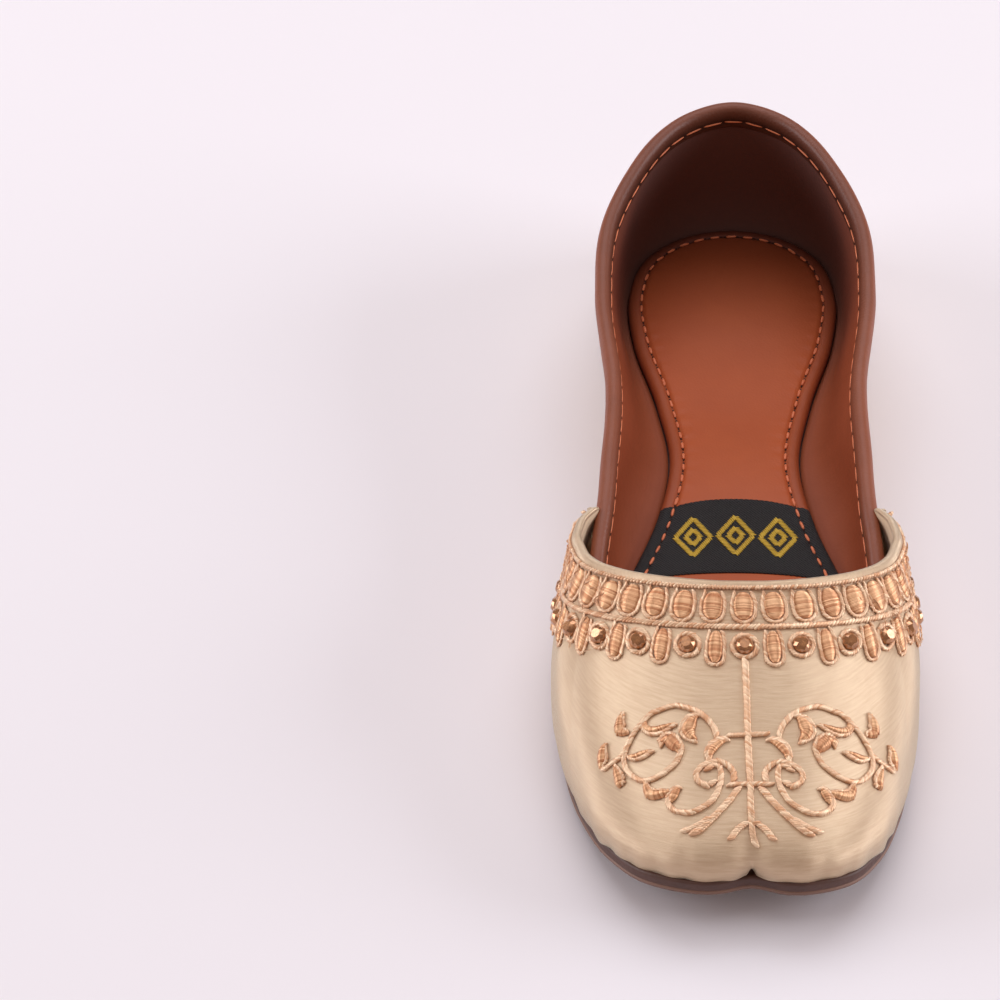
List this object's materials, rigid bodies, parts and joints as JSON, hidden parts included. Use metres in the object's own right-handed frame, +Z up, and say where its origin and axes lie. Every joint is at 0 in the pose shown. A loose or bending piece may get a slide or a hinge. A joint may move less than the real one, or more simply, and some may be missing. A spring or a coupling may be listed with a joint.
{
  "type": "mojari shoe",
  "caption": "Flat slip-on mojari with a hollow satin upper, notched blunt toe, embroidered throat band, leather collar binding, padded sock and thin leather sole.",
  "frame": {"origin": "on the floor, at the middle of the shoe's footprint box", "axes": "+Z up; the toe points along -Y and the heel along +Y; +X is the wearer's left, the big toe's side of this right shoe"},
  "size_m": [0.0844, 0.248, 0.0496],
  "materials": {
    "sole_leather": "burnished dark brown edge",
    "sock_leather": "smooth brown, slightly glossy",
    "satin": "champagne gold satin weave",
    "binding_leather": "smooth brown, satin gloss"
  },
  "bodies": {
    "root": {"outsole": "sole_leather", "sock": "sock_leather", "upper": "satin", "collar_binding": "binding_leather"}
  },
  "joints": []
}
